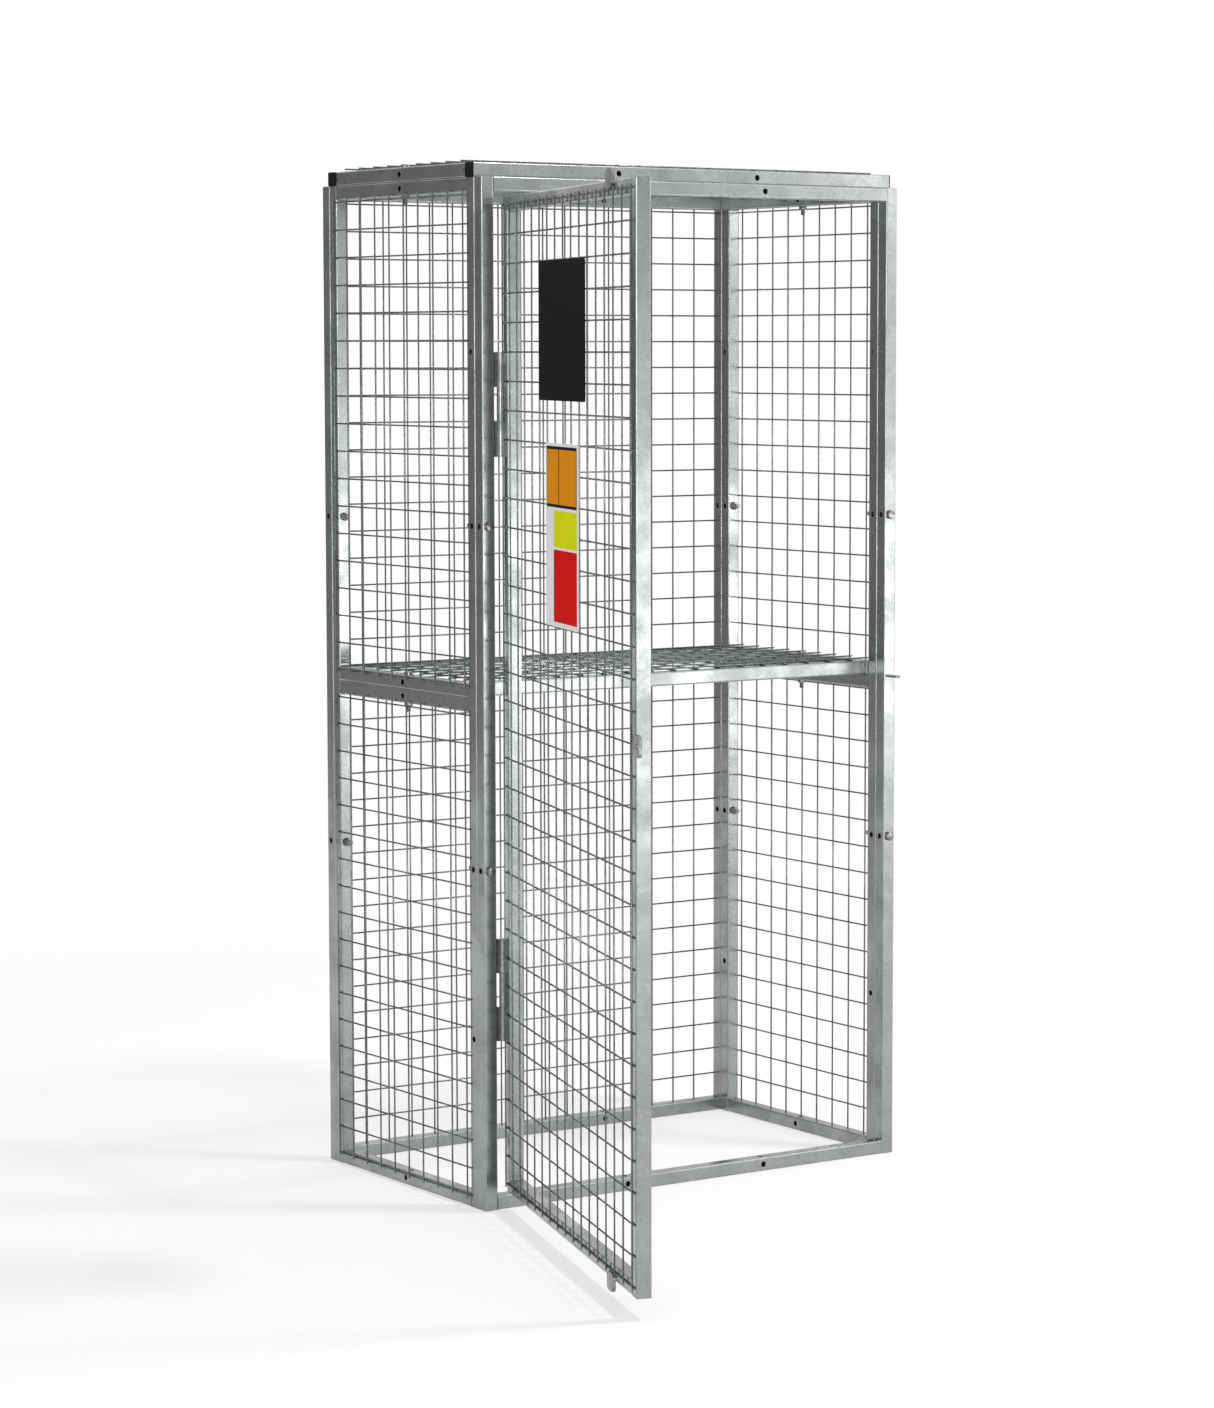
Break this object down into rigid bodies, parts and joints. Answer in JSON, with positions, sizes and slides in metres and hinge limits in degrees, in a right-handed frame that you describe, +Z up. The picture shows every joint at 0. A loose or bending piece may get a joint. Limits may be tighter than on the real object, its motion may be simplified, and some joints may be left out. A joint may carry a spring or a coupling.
{
  "type": "gas cylinder cage",
  "caption": "Upright gas cylinder storage cage of galvanised square tube and welded wire mesh, with a roof, a mesh shelf at half height and a hinged door with a padlock latch.",
  "frame": {"origin": "centre of the footprint of the upright frames, on the floor", "axes": "+X to the right seen from the front, the front with the door faces -Y, +Z up"},
  "size_m": [1.1394, 1.3823, 1.8307],
  "materials": {
    "galvanised_tube": "matt galvanised",
    "galvanised_wire": "matt galvanised",
    "galvanised_plate": "matt galvanised",
    "black_plastic": "moulded",
    "black_board": "matt",
    "white_board": "satin"
  },
  "bodies": {
    "cage": {"left_side_posts": "galvanised_tube", "right_side_posts": "galvanised_tube", "left_side_rails": "galvanised_tube", "right_side_rails": "galvanised_tube", "left_mesh_lower": "galvanised_wire", "left_mesh_upper": "galvanised_wire", "right_mesh_lower": "galvanised_wire", "right_mesh_upper": "galvanised_wire", "back_posts": "galvanised_tube", "back_rails": "galvanised_tube", "back_mesh_lower": "galvanised_wire", "back_mesh_upper": "galvanised_wire", "front_posts": "galvanised_tube", "front_rails": "galvanised_tube", "roof_long_tubes": "galvanised_tube", "roof_end_tubes": "galvanised_tube", "roof_end_caps": "black_plastic", "roof_mesh": "galvanised_wire", "shelf_end_tubes": "galvanised_tube", "shelf_long_tubes": "galvanised_tube", "shelf_mesh": "galvanised_wire", "lower_hinge_frame_half": "galvanised_plate", "upper_hinge_frame_half": "galvanised_plate", "padlock_staple": "galvanised_plate"},
    "door": {"door_posts": "galvanised_tube", "door_rails": "galvanised_tube", "door_mesh_lower": "galvanised_wire", "door_mesh_upper": "galvanised_wire", "lower_hinge_door_half": "galvanised_plate", "upper_hinge_door_half": "galvanised_plate", "door_stop_tabs": "galvanised_plate", "latch_plate": "galvanised_plate", "black_board": "black_board", "sign_board": "white_board"}
  },
  "joints": [
    {"name": "door_hinge", "type": "hinge", "parent": "cage", "child": "door", "pos_m": [-0.415, -0.278, 0.9], "axis": [0, 0, -1], "range_deg": [-107.5, 47]}
  ]
}
